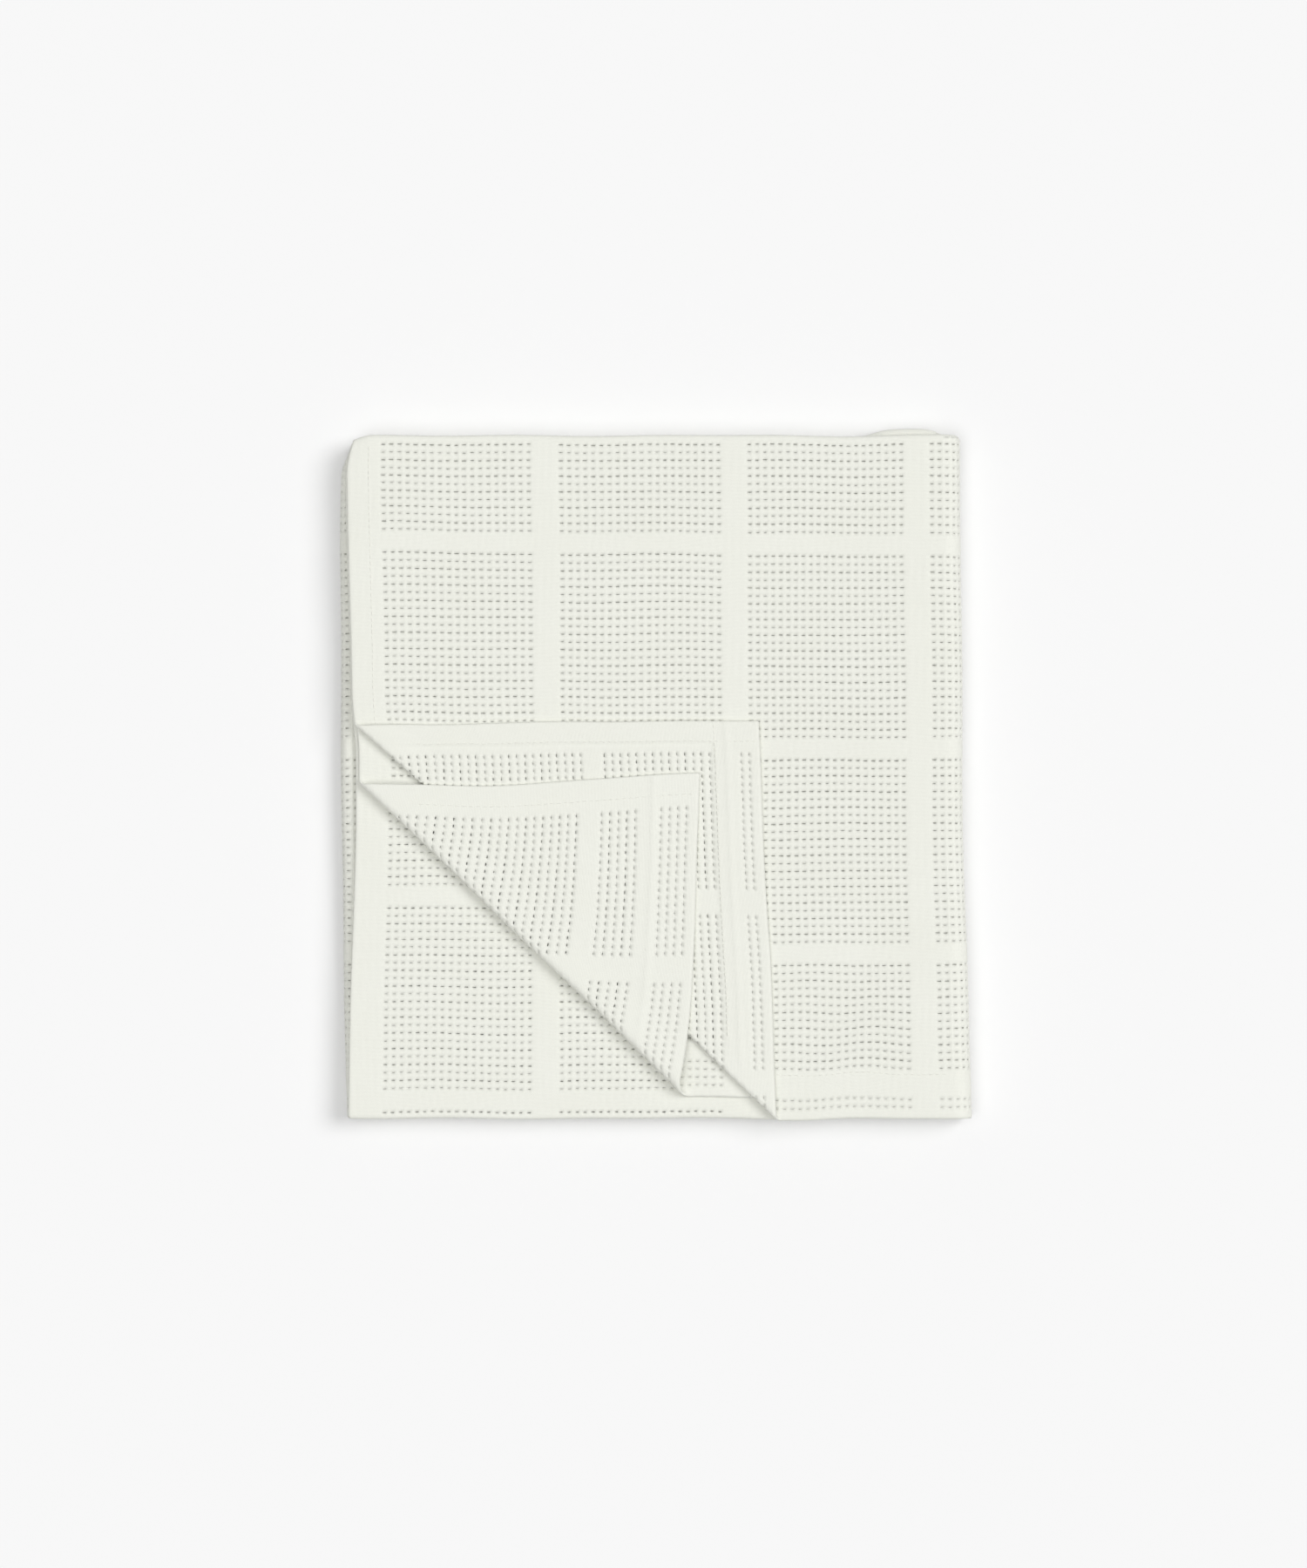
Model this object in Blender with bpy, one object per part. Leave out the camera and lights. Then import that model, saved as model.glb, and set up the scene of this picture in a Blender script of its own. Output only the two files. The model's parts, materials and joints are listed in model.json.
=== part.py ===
"""A cellular cotton throw blanket, folded into a flat rectangular pile with one corner turned back.

The blanket is one cloth. It is folded in half twice along its length, which makes four plies, and then
in three across its width, which makes a bottom leaf, an inner leaf and a top leaf of four plies each.
The lower left corners of the top leaf's two upper plies are folded back along two parallel diagonals.

Each ply, fold, hem and seam is a solid of its own, so that the top leaf can open like a book cover and
the two corners can be laid flat again. Units are metres, +Z is up, the floor is z = 0, and the pile is
centred on the Z axis. The head edge is at +Y, the foot edge at -Y, and the spine of the top leaf at +X.
"""

import math

import bmesh
import bpy
from mathutils import Vector

# The pile seen from above.
PILE_WIDTH = 0.346
PILE_DEPTH = 0.376

# The cloth, and the air between two plies that lie on each other.
CLOTH_THICKNESS = 0.0014
PLY_GAP = 0.0003

# How far the top leaf's free edge lies inside the rounded fold below it.
TOP_LEAF_INSET = 0.007
# How far the inner leaf's free edge stops short of the spine's fold.
INNER_LEAF_CLEARANCE = 0.004
# How far the second ply's free end stops short of the foot edge.
PLY_2_FOOT_INSET = 0.012

# Hems: the turned edge along the cloth's sides and the wider one across its ends, and the sewn line.
SIDE_HEM_WIDTH = 0.0125
END_HEM_WIDTH = 0.0255
SEAM_WIDTH = 0.0008

# The turned-back corners. Both diagonals fall to the right at the same angle.
DIAGONAL_ANGLE = math.radians(43.1)
# Height of the first diagonal's left end above the foot edge, and how much lower the second one is.
CORNER_1_RISE = 0.222
CORNER_STEP = 0.0315
# How far each corner's tip has slipped along its diagonal, and has crept back towards it.
CORNER_1_SLIP = 0.0146
CORNER_1_CREEP = 0.0104
CORNER_2_SLIP = 0.0184
CORNER_2_CREEP = 0.0008

# Flat facets in each rounded fold.
FOLD_FACETS = 12

CLOTH_COLOUR = (0.86, 0.87, 0.81, 1.0)
CLOTH_ROUGHNESS = 0.92
THREAD_COLOUR = (0.82, 0.82, 0.76, 1.0)
THREAD_ROUGHNESS = 0.8

# Everything below follows from the sizes above.
PLY_PITCH = CLOTH_THICKNESS + PLY_GAP
HALF_CLOTH = CLOTH_THICKNESS / 2

# The level of each leaf's plies 1 to 4, counted from the floor.
LEAF_LEVELS = {
    "bottom_leaf": (0, 1, 2, 3),
    "inner_leaf": (7, 6, 5, 4),
    "top_leaf": (11, 10, 9, 8),
}
CORNER_1_LEVEL = 12
CORNER_2_LEVEL = 13
PILE_HEIGHT = CORNER_2_LEVEL * PLY_PITCH + CLOTH_THICKNESS


def level_middle(level):
    """Height of the middle of the cloth at a level, which may be halfway between two."""
    return level * PLY_PITCH + HALF_CLOTH


def fold_reach(lower, upper):
    """How far a rounded fold that joins two levels stands out from its centre line."""
    return (upper - lower) * PLY_PITCH / 2 + HALF_CLOTH


FOOT_Y = -PILE_DEPTH / 2
HEAD_FOLD_Y = PILE_DEPTH / 2 - fold_reach(8, 11)
FOOT_FOLD_Y = FOOT_Y + fold_reach(8, 9)
LEFT_FOLD_X = -PILE_WIDTH / 2 + fold_reach(0, 7)
SPINE_FOLD_X = PILE_WIDTH / 2 - fold_reach(0, 11)
TOP_LEFT_X = -PILE_WIDTH / 2 + TOP_LEAF_INSET
INNER_RIGHT_X = SPINE_FOLD_X - INNER_LEAF_CLEARANCE

# The top leaf turns over a line halfway along the cloth that it uncurls, level with half the pile's
# height, so that it ends upside down on the floor.
SPINE_MIDDLE_RADIUS = 4 * PLY_PITCH
TOP_LEAF_HINGE = Vector((SPINE_FOLD_X + math.pi * SPINE_MIDDLE_RADIUS / 2, 0, PILE_HEIGHT / 2))

# Along both diagonals, and across them towards the turned-back side.
ALONG = Vector((math.cos(DIAGONAL_ANGLE), -math.sin(DIAGONAL_ANGLE), 0))
ACROSS = Vector((math.sin(DIAGONAL_ANGLE), math.cos(DIAGONAL_ANGLE), 0))


def new_material(name, colour, roughness):
    material = bpy.data.materials.new(name)
    material.use_nodes = True
    shader = material.node_tree.nodes["Principled BSDF"]
    shader.inputs["Base Color"].default_value = colour
    shader.inputs["Roughness"].default_value = roughness
    shader.inputs["Metallic"].default_value = 0.0
    material.diffuse_color = colour
    return material


def new_body(name, points, faces, joint=None, thread=False):
    """A closed solid, placed on its joint's empty if it moves."""
    place = joint.matrix_world.translation if joint else Vector((0, 0, 0))
    mesh = bpy.data.meshes.new(name)
    mesh.from_pydata([point - place for point in points], [], faces)
    shape = bmesh.new()
    shape.from_mesh(mesh)
    bmesh.ops.recalc_face_normals(shape, faces=shape.faces)
    shape.to_mesh(mesh)
    shape.free()
    body = bpy.data.objects.new(name, mesh)
    bpy.context.scene.collection.objects.link(body)
    body.parent = joint
    if thread:
        mesh.materials.append(new_material(name + "_cotton_thread", THREAD_COLOUR, THREAD_ROUGHNESS))
    else:
        mesh.materials.append(new_material(name + "_cotton", CLOTH_COLOUR, CLOTH_ROUGHNESS))
    return body


def new_joint(name, place, parent=None):
    """An empty on a joint's axis, for the pieces that turn about it."""
    joint = bpy.data.objects.new(name, None)
    joint.empty_display_size = 0.03
    bpy.context.scene.collection.objects.link(joint)
    joint.parent = parent
    joint.location = place - parent.matrix_world.translation if parent else place
    bpy.context.view_layer.update()
    return joint


def rectangle(left, right, foot, head):
    return [Vector((left, foot, 0)), Vector((right, foot, 0)), Vector((right, head, 0)), Vector((left, head, 0))]


def keep_beyond(outline, edge, distance):
    """The part of a convex outline at least this far inside an edge, given as a point and its inward normal."""
    place, inward = edge
    kept = []
    for i, corner in enumerate(outline):
        after = outline[(i + 1) % len(outline)]
        here = (corner - place).dot(inward) - distance
        there = (after - place).dot(inward) - distance
        if here >= 0:
            kept.append(corner)
        if (here >= 0) != (there >= 0):
            kept.append(corner.lerp(after, here / (here - there)))
    return kept


def keep_within(outline, edge, distance):
    """The part of a convex outline no more than this far inside an edge."""
    place, inward = edge
    return keep_beyond(outline, (place, -inward), -distance)


def flat_piece(name, outline, level, joint=None, thread=False):
    """A convex piece of cloth lying flat at a level."""
    count = len(outline)
    bottom = Vector((0, 0, level * PLY_PITCH))
    top = bottom + Vector((0, 0, CLOTH_THICKNESS))
    points = [corner + bottom for corner in outline] + [corner + top for corner in outline]
    faces = [list(range(count)), list(range(count, 2 * count))]
    for i in range(count):
        after = (i + 1) % count
        faces.append([i, after, count + after, count + i])
    return new_body(name, points, faces, joint, thread)


def rounded_fold(name, start, end, outward, levels, joint=None):
    """Cloth bent through half a circle about the line from start to end, to join two levels."""
    lower, upper = min(levels), max(levels)
    centre = Vector((0, 0, level_middle((lower + upper) / 2)))
    outer = fold_reach(lower, upper)
    inner = outer - CLOTH_THICKNESS
    points = []
    for radius in (outer, inner):
        for step in range(FOLD_FACETS + 1):
            turn = math.pi * (step / FOLD_FACETS - 0.5)
            bend = outward * (radius * math.cos(turn)) + Vector((0, 0, radius * math.sin(turn)))
            points.append(start + centre + bend)
            points.append(end + centre + bend)
    row = 2 * (FOLD_FACETS + 1)
    faces = []
    for step in range(FOLD_FACETS):
        a = 2 * step
        b = a + row
        faces.append([a, a + 1, a + 3, a + 2])
        faces.append([b, b + 2, b + 3, b + 1])
        faces.append([a, a + 2, b + 2, b])
        faces.append([a + 1, b + 1, b + 3, a + 3])
    last = row - 2
    faces.append([0, row, row + 1, 1])
    faces.append([last, last + 1, row + last + 1, row + last])
    return new_body(name, points, faces, joint)


def hemmed_pieces(name, outline, level, side_edge, end_edge, joint):
    """A flat piece divided into its cloth, the hems along two of its edges, and the seams that hold them.

    The end hem runs the full length of its edge, over the end of the side hem."""
    side_seam = SIDE_HEM_WIDTH + PLY_GAP
    side_cloth = side_seam + SEAM_WIDTH + PLY_GAP
    end_seam = END_HEM_WIDTH + PLY_GAP
    end_cloth = end_seam + SEAM_WIDTH + PLY_GAP
    clear_of_end = keep_beyond(outline, end_edge, end_cloth)
    cloth = keep_beyond(clear_of_end, side_edge, side_cloth)
    flat_piece(name, cloth, level, joint)
    hem = keep_within(clear_of_end, side_edge, SIDE_HEM_WIDTH)
    flat_piece(name + "_side_hem", hem, level, joint)
    seam = keep_within(keep_beyond(clear_of_end, side_edge, side_seam), side_edge, side_seam + SEAM_WIDTH)
    flat_piece(name + "_side_seam", seam, level, joint, thread=True)
    hem = keep_within(outline, end_edge, END_HEM_WIDTH)
    flat_piece(name + "_end_hem", hem, level, joint)
    seam = keep_within(keep_beyond(outline, end_edge, end_seam), end_edge, end_seam + SEAM_WIDTH)
    flat_piece(name + "_end_seam", seam, level, joint, thread=True)


def diagonal(rise):
    """The ends of a diagonal fold line, from the top leaf's free edge to the foot edge."""
    start = Vector((TOP_LEFT_X, FOOT_Y + rise, 0))
    end = Vector((TOP_LEFT_X + rise / math.tan(DIAGONAL_ANGLE), FOOT_Y, 0))
    return start, end


def inward_edge(start, end, inside):
    """The edge from start to end, as a point and the normal on the same side as a point inside."""
    run = (end - start).normalized()
    normal = Vector((-run.y, run.x, 0))
    if (inside - start).dot(normal) < 0:
        normal = -normal
    return start, normal


def turned_back_corner(name, rise, foot_inset, slip, creep, levels, joint):
    """The cloth of a corner that is folded over a diagonal, with its hems, and the fold itself."""
    start, end = diagonal(rise)
    end = end - ALONG * (foot_inset / math.sin(DIAGONAL_ANGLE))
    corner = Vector((TOP_LEFT_X, FOOT_Y + foot_inset, 0))
    mirrored = corner + ACROSS * (2 * (start - corner).dot(ACROSS))
    tip = mirrored + ALONG * slip - ACROSS * creep
    middle = (start + end + tip) / 3
    outline = keep_beyond([start, end, tip], (start, ACROSS), PLY_GAP)
    side_edge = inward_edge(start, tip, middle)
    end_edge = inward_edge(end, tip, middle)
    hemmed_pieces(name, outline, max(levels), side_edge, end_edge, joint)
    # The fold's square ends stop where its bulge would pass the free edge and the foot edge.
    bulge = fold_reach(min(levels), max(levels))
    start = start + ALONG * (bulge * math.tan(DIAGONAL_ANGLE))
    end = end - ALONG * (bulge / math.tan(DIAGONAL_ANGLE))
    rounded_fold(name + "_fold", start, end, -ACROSS, levels, joint)


def leaf(name, left, right, joint=None):
    """The four plies of one leaf, from its left end to its right, and the folds along its head and foot."""
    levels = LEAF_LEVELS[name]
    cloth_head = HEAD_FOLD_Y - PLY_GAP
    foot_by_ply = (FOOT_Y, FOOT_Y, FOOT_FOLD_Y + PLY_GAP, FOOT_FOLD_Y + PLY_GAP)
    for number, (level, foot) in enumerate(zip(levels, foot_by_ply), start=1):
        outline = rectangle(left, right, foot, cloth_head)
        if name == "top_leaf" and number == 1:
            start, _ = diagonal(CORNER_1_RISE)
            outline = keep_beyond(outline, (start, ACROSS), PLY_GAP)
            side_edge = (Vector((left, 0, 0)), Vector((1, 0, 0)))
            end_edge = (Vector((0, foot, 0)), Vector((0, 1, 0)))
            hemmed_pieces(f"{name}_ply_{number}", outline, level, side_edge, end_edge, joint)
            continue
        if name == "top_leaf" and number == 2:
            start, _ = diagonal(CORNER_1_RISE - CORNER_STEP)
            outline = rectangle(left, right, foot + PLY_2_FOOT_INSET, cloth_head)
            outline = keep_beyond(outline, (start, ACROSS), PLY_GAP)
        flat_piece(f"{name}_ply_{number}", outline, level, joint)
    head = Vector((0, 1, 0))
    start, end = Vector((left, HEAD_FOLD_Y, 0)), Vector((right, HEAD_FOLD_Y, 0))
    rounded_fold(f"{name}_head_fold_outer", start, end, head, (levels[0], levels[3]), joint)
    rounded_fold(f"{name}_head_fold_inner", start, end, head, (levels[1], levels[2]), joint)
    start, end = Vector((left, FOOT_FOLD_Y, 0)), Vector((right, FOOT_FOLD_Y, 0))
    rounded_fold(f"{name}_foot_fold", start, end, -head, (levels[2], levels[3]), joint)


def fold_between_leaves(name, first, second, x, outward):
    """The four plies that bend round from one leaf to another, one inside the next."""
    foot_by_ply = (FOOT_Y, FOOT_Y, FOOT_FOLD_Y + PLY_GAP, FOOT_FOLD_Y + PLY_GAP)
    for number, foot in enumerate(foot_by_ply, start=1):
        levels = (LEAF_LEVELS[first][number - 1], LEAF_LEVELS[second][number - 1])
        start, end = Vector((x, foot, 0)), Vector((x, HEAD_FOLD_Y - PLY_GAP, 0))
        rounded_fold(f"{name}_ply_{number}", start, end, outward, levels)


def main():
    for old in list(bpy.data.objects):
        bpy.data.objects.remove(old)

    leaf("bottom_leaf", LEFT_FOLD_X + PLY_GAP, SPINE_FOLD_X - PLY_GAP)
    leaf("inner_leaf", LEFT_FOLD_X + PLY_GAP, INNER_RIGHT_X)
    fold_between_leaves("left_fold", "bottom_leaf", "inner_leaf", LEFT_FOLD_X, Vector((-1, 0, 0)))
    fold_between_leaves("spine_fold", "bottom_leaf", "top_leaf", SPINE_FOLD_X, Vector((1, 0, 0)))

    top_leaf_joint = new_joint("top_leaf_joint", TOP_LEAF_HINGE)
    leaf("top_leaf", TOP_LEFT_X, SPINE_FOLD_X - PLY_GAP, top_leaf_joint)

    corners = (
        (1, CORNER_1_RISE, 0.0, CORNER_1_SLIP, CORNER_1_CREEP, CORNER_1_LEVEL),
        (2, CORNER_1_RISE - CORNER_STEP, PLY_2_FOOT_INSET, CORNER_2_SLIP, CORNER_2_CREEP, CORNER_2_LEVEL),
    )
    for number, rise, foot_inset, slip, creep, level in corners:
        levels = (LEAF_LEVELS["top_leaf"][number - 1], level)
        start, end = diagonal(rise)
        place = (start + end) / 2
        place.z = level_middle(sum(levels) / 2)
        joint = new_joint(f"corner_{number}_joint", place, top_leaf_joint)
        turned_back_corner(f"corner_{number}", rise, foot_inset, slip, creep, levels, joint)


main()
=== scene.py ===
"""Looks of the folded throw blanket: one cellular cotton cloth with its hems and stitches, folded in four
along its length and in three across its width, with the corners of the two top plies turned back.

Every cloth piece is a patch of one long sheet. A point on the sheet is named by its column (cells across,
from the free side edge of the top leaf) and its row (cells along, from end A), and place() folds it up.
"""

import json
import math

import bpy
import numpy as np
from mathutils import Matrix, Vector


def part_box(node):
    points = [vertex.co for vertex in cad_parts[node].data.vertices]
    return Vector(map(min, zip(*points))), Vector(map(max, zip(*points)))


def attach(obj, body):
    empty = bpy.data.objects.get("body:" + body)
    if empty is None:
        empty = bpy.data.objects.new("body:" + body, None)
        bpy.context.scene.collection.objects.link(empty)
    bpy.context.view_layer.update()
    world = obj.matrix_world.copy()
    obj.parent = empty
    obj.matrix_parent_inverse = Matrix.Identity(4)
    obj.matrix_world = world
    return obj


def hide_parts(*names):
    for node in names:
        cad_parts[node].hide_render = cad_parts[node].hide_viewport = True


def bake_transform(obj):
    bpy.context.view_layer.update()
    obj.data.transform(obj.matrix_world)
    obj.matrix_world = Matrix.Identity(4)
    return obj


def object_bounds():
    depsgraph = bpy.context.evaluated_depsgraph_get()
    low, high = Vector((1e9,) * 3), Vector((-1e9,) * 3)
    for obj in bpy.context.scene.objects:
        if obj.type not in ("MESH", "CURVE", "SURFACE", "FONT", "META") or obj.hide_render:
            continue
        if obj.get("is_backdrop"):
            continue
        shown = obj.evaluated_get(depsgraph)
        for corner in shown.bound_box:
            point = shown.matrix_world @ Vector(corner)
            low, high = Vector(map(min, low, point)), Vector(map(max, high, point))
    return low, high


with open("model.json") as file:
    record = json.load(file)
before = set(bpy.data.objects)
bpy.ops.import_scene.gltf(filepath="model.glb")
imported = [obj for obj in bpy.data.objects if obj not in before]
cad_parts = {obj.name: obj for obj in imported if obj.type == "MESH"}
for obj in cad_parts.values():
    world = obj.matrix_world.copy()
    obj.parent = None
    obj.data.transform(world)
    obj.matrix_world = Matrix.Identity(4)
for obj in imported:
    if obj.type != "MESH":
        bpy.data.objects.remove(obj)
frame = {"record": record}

cad_low, cad_high = ([float(v) for v in corner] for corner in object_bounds())

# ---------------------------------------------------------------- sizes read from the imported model


def low(node, axis):
    return float(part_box(node)[0][axis])


def high(node, axis):
    return float(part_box(node)[1][axis])


def middle(node, axis):
    return (low(node, axis) + high(node, axis)) / 2


PLIES = 12
LEVEL_0 = middle("bottom_leaf_ply_1", 2)
PITCH = (middle("top_leaf_ply_1", 2) - LEVEL_0) / (PLIES - 1)
THICKNESS = high("bottom_leaf_ply_2", 2) - low("bottom_leaf_ply_2", 2)
PILE_TOP = cad_high[2]
TOP_LEFT_X = low("top_leaf_ply_3", 0)
SPINE_X = low("spine_fold_ply_1", 0)
LEFT_FOLD_X = high("left_fold_ply_1", 0)
INNER_RIGHT_X = high("inner_leaf_ply_1", 0)
FOOT_Y = low("top_leaf_ply_1_end_hem", 1)
HEAD_FOLD_Y = low("top_leaf_head_fold_outer", 1)
FOOT_FOLD_Y = high("top_leaf_foot_fold", 1)
PLY_2_END_Y = low("top_leaf_ply_2", 1)
RIGHT_X = cad_high[0]
LEFT_X = cad_low[0]
JOINTS = {joint["name"]: joint for joint in frame["record"]["behaviour"]["joints"]}

# ---------------------------------------------------------------- the sheet, counted in woven cells

# Columns: top leaf, spine fold, bottom leaf, left fold, inner leaf.
TOP_COLS, SPINE_COLS, BOTTOM_COLS, LEFT_COLS, INNER_COLS = 76, 7, 76, 4, 75
COL_SPINE = TOP_COLS
COL_BOTTOM = COL_SPINE + SPINE_COLS
COL_LEFT = COL_BOTTOM + BOTTOM_COLS
COL_INNER = COL_LEFT + LEFT_COLS
COL_END = COL_INNER + INNER_COLS
# Rows: ply 1, outer head fold, ply 4, foot fold, ply 3, inner head fold, ply 2.
ROW_HEAD, ROW_PLY_4, ROW_FOOT, ROW_PLY_3, ROW_INNER_HEAD, ROW_PLY_2, ROW_END = 86, 88, 174, 175, 261, 262, 345
CELL = (SPINE_X - TOP_LEFT_X) / TOP_COLS
# Each ply's height in its leaf, in plies.
PLY_HEIGHT = {1: 3, 2: 2, 3: 1, 4: 0}
# Heights in the pile, in plies above its lowest: ply 4 of each leaf, and the middles of the two folds between
# the leaves. The bottom leaf lies upside down, with its ply 4 on top.
TOP_LEVEL, INNER_LEVEL, BOTTOM_LEVEL = 8, 4, 3
SPINE_LEVEL, LEFT_LEVEL = (TOP_LEVEL + BOTTOM_LEVEL) / 2, (INNER_LEVEL + BOTTOM_LEVEL) / 2

# Bands woven without holes, in cells: how often they come, how wide they are, and where the first one lies.
SIDE_HEM_COLS = 4
BAND_COL_EVERY, BAND_COL_WIDTH, BAND_COL_FIRST = 24, 3, 23
BAND_ROW_EVERY, BAND_ROW_WIDTH = 26, 2
BAND_ROW_FIRST_A, BAND_ROW_FIRST_B, BAND_ROW_FIRST_3 = 20, 12, 1
# The end hems, counted in rows from each end: the rows they half hide, and the plain rows along them.
HEM_A_ROWS, HEM_A_PLAIN = 3, (0, 3, 4, 5)
HEM_B_ROWS, HEM_B_PLAIN = 5, (0, 5, 6)
# How open a row is: plain, half hidden by a hem, faint, or open.
PLAIN_ROW, HEM_ROW, FAINT_ROW, OPEN_ROW = 0.0, 0.35, 0.55, 1.0


def plain_column(col):
    """Columns woven without holes: both side hems, and the bands between them."""
    band = (col >= BAND_COL_FIRST) & ((col - BAND_COL_FIRST) % BAND_COL_EVERY < BAND_COL_WIDTH)
    return (col < SIDE_HEM_COLS) | (col >= COL_END - SIDE_HEM_COLS) | band


def band_row(count, first):
    """True in the plain bands, for rows counted from one end."""
    return (count >= first) & ((count - first) % BAND_ROW_EVERY < BAND_ROW_WIDTH)


def row_kind(row):
    """How open each row is: plies 1 and 4 count from end A, ply 2 from end B, and ply 3 from the foot."""
    end_b = ROW_END - 1 - row
    ply_3 = row - ROW_PLY_3
    from_a = row < ROW_PLY_3
    from_b = row >= ROW_PLY_2
    plain = from_a & (np.isin(row, HEM_A_PLAIN) | band_row(row, BAND_ROW_FIRST_A))
    plain |= from_b & (np.isin(end_b, HEM_B_PLAIN) | band_row(end_b, BAND_ROW_FIRST_B))
    plain |= ~from_a & ~from_b & band_row(ply_3, BAND_ROW_FIRST_3)
    hem = (from_a & (row < HEM_A_ROWS)) | (from_b & (end_b < HEM_B_ROWS))
    open_row = np.where(from_a, row % 2 == 1, np.where(from_b, end_b % 2 == 0, ply_3 % 2 == 0))
    return np.where(plain, PLAIN_ROW, np.where(hem, HEM_ROW, np.where(open_row, OPEN_ROW, FAINT_ROW)))


# ---------------------------------------------------------------- how the sheet lies


def soft_curve(xs, ys, blur=0.012):
    """A smooth function near these points, rounded over about this distance."""
    reach, step, pad = 0.26, 0.001, 30
    grid = np.linspace(-reach, reach, round(2 * reach / step) + 1)
    values = np.interp(grid, xs, ys)
    kernel = np.exp(-0.5 * (np.arange(-pad, pad + 1) * step / blur) ** 2)
    padded = np.concatenate([np.full(pad, values[0]), values, np.full(pad, values[-1])])
    smooth = np.convolve(padded, kernel / kernel.sum(), "valid")
    return lambda at: np.interp(at, grid, smooth)


# The pile's own unevenness: how far each edge lies from its straight place, along the pile.
right_edge = soft_curve((-0.188, -0.12, -0.05, 0.09, 0.18), (0.0006, -0.0010, -0.0036, -0.0050, -0.0060))
top_left_edge = soft_curve(
    (-0.188, -0.12, -0.03, 0.020, 0.036, 0.09, 0.17),
    (-0.0028, -0.0010, 0.0018, 0.0020, -0.0014, -0.0028, -0.0042), blur=0.008,
)
lower_left_edge = soft_curve((-0.188, -0.18, 0.0, 0.14, 0.18), (0.0024, 0.0020, -0.0012, -0.0016, -0.0004))

# Nine waves, each a length, a direction and a phase: three for the height, three for x and three for y.
rng = np.random.default_rng(7)
WAVES = [(rng.uniform(0.07, 0.19), rng.uniform(0, math.tau), rng.uniform(0, math.tau)) for _ in range(9)]


def ripple(x, y, first, count=3):
    """The mean of a few waves, from this one on, between -1 and 1."""
    total = 0.0
    for length, turn, phase in WAVES[first : first + count]:
        total = total + np.sin((x * math.cos(turn) + y * math.sin(turn)) * math.tau / length + phase)
    return total / count


def ease(share):
    """0 to 1 without a corner at either end."""
    share = np.clip(share, 0, 1)
    return share * share * (3 - 2 * share)


# How far the ripples move the cloth up, across and along, and what share lower the pile is at its edges.
LIFT, RIPPLE_X, RIPPLE_Y, EDGE_SAG = 0.0011, 0.0006, 0.0007, 0.055
# How far in from the sides and the ends the pile sags.
SIDE_SAG_RUN, END_SAG_RUN = 0.010, 0.008
# The cloth is level up to this x and y, and as uneven as elsewhere past the ease.
LEVEL_TO_X, LEVEL_TO_Y, LEVEL_EASE = 0.12, 0.09, 0.04
# The corner of the pile at its head and left is tucked in by this much, over this distance.
TUCK, TUCK_REACH = 0.0048, 0.022
# The top leaf's rows wave at the right of the foot, by this much and at this length, about this middle and
# over this width in x and in y.
FAN, FAN_LENGTH = 0.0011, 0.055
FAN_X, FAN_Y = (0.105, 0.045), (-0.142, 0.034)
# The lower leaves reach past the top leaf's head fold by this much, near its right end: about this middle and
# over this width in x, and from this y over this run.
PEEP = 0.0036
PEEP_X, PEEP_FROM, PEEP_RUN = (0.142, 0.020), 0.12, 0.06
# Rows in the pile's head half slope down to the right, and up to the left, by this much.
SLOPE = 0.0020


def hump(at, centre, width, power=2):
    """1 at its centre and nothing far from it. A higher power gives it a flatter top."""
    return np.exp(-(((at - centre) / width) ** power))


def settle(x, y, z):
    """The whole pile's soft unevenness. Height is scaled level by level, so no ply crosses its neighbour."""
    share = np.clip(z / PILE_TOP, 0, 1.4)
    on_top = np.clip((z - (TOP_LEVEL - 0.5) * PITCH) / PITCH, 0, 1)
    left = np.clip(-x / -LEFT_X, 0, 1.1)
    right = np.clip(x / RIGHT_X, 0, 1.1)
    left_shift = on_top * top_left_edge(y) + (1 - on_top) * lower_left_edge(y)
    # The quarter that the turned-back corners lie on is level, so they can lie flat again when unfolded.
    uneven = 1 - ease((LEVEL_TO_X - x) / LEVEL_EASE) * ease((LEVEL_TO_Y - y) / LEVEL_EASE)
    lift = LIFT * ripple(x, y, 0) * share * uneven
    from_side = np.clip(RIGHT_X - np.abs(x), 0, 1)
    from_end = np.clip(-FOOT_Y - np.abs(y), 0, 1)
    edge = np.exp(-from_side / SIDE_SAG_RUN) + np.exp(-from_end / END_SAG_RUN)
    sag = 1 - EDGE_SAG * np.clip(edge, 0, 1.5) * uneven
    near_left = np.clip((LEFT_X + TUCK_REACH - x) / TUCK_REACH, 0, 1)
    near_head = np.clip((y + FOOT_Y + TUCK_REACH) / TUCK_REACH, 0, 1)
    tuck = TUCK * ease(near_left * near_head)
    x, y = x + tuck, y - 0.8 * tuck
    fan = hump(x, *FAN_X) * hump(y, *FAN_Y)
    y = y + on_top * FAN * fan * np.sin((x - 0.4 * y) * math.tau / FAN_LENGTH)
    peep = hump(x, *PEEP_X, power=4) * np.clip((y - PEEP_FROM) / PEEP_RUN, 0, 1)
    y = y + (1 - on_top) * PEEP * peep
    slope = np.clip(y / 0.18, 0, 1) * np.clip((0.17 - y) / 0.05, 0, 1) * np.clip(x / 0.17, -1, 1)
    return (
        x + left * left_shift + right * right_edge(y) + RIPPLE_X * ripple(x, y, 3),
        y + RIPPLE_Y * ripple(x, y, 6) - SLOPE * slope,
        z * sag + lift,
    )


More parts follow.
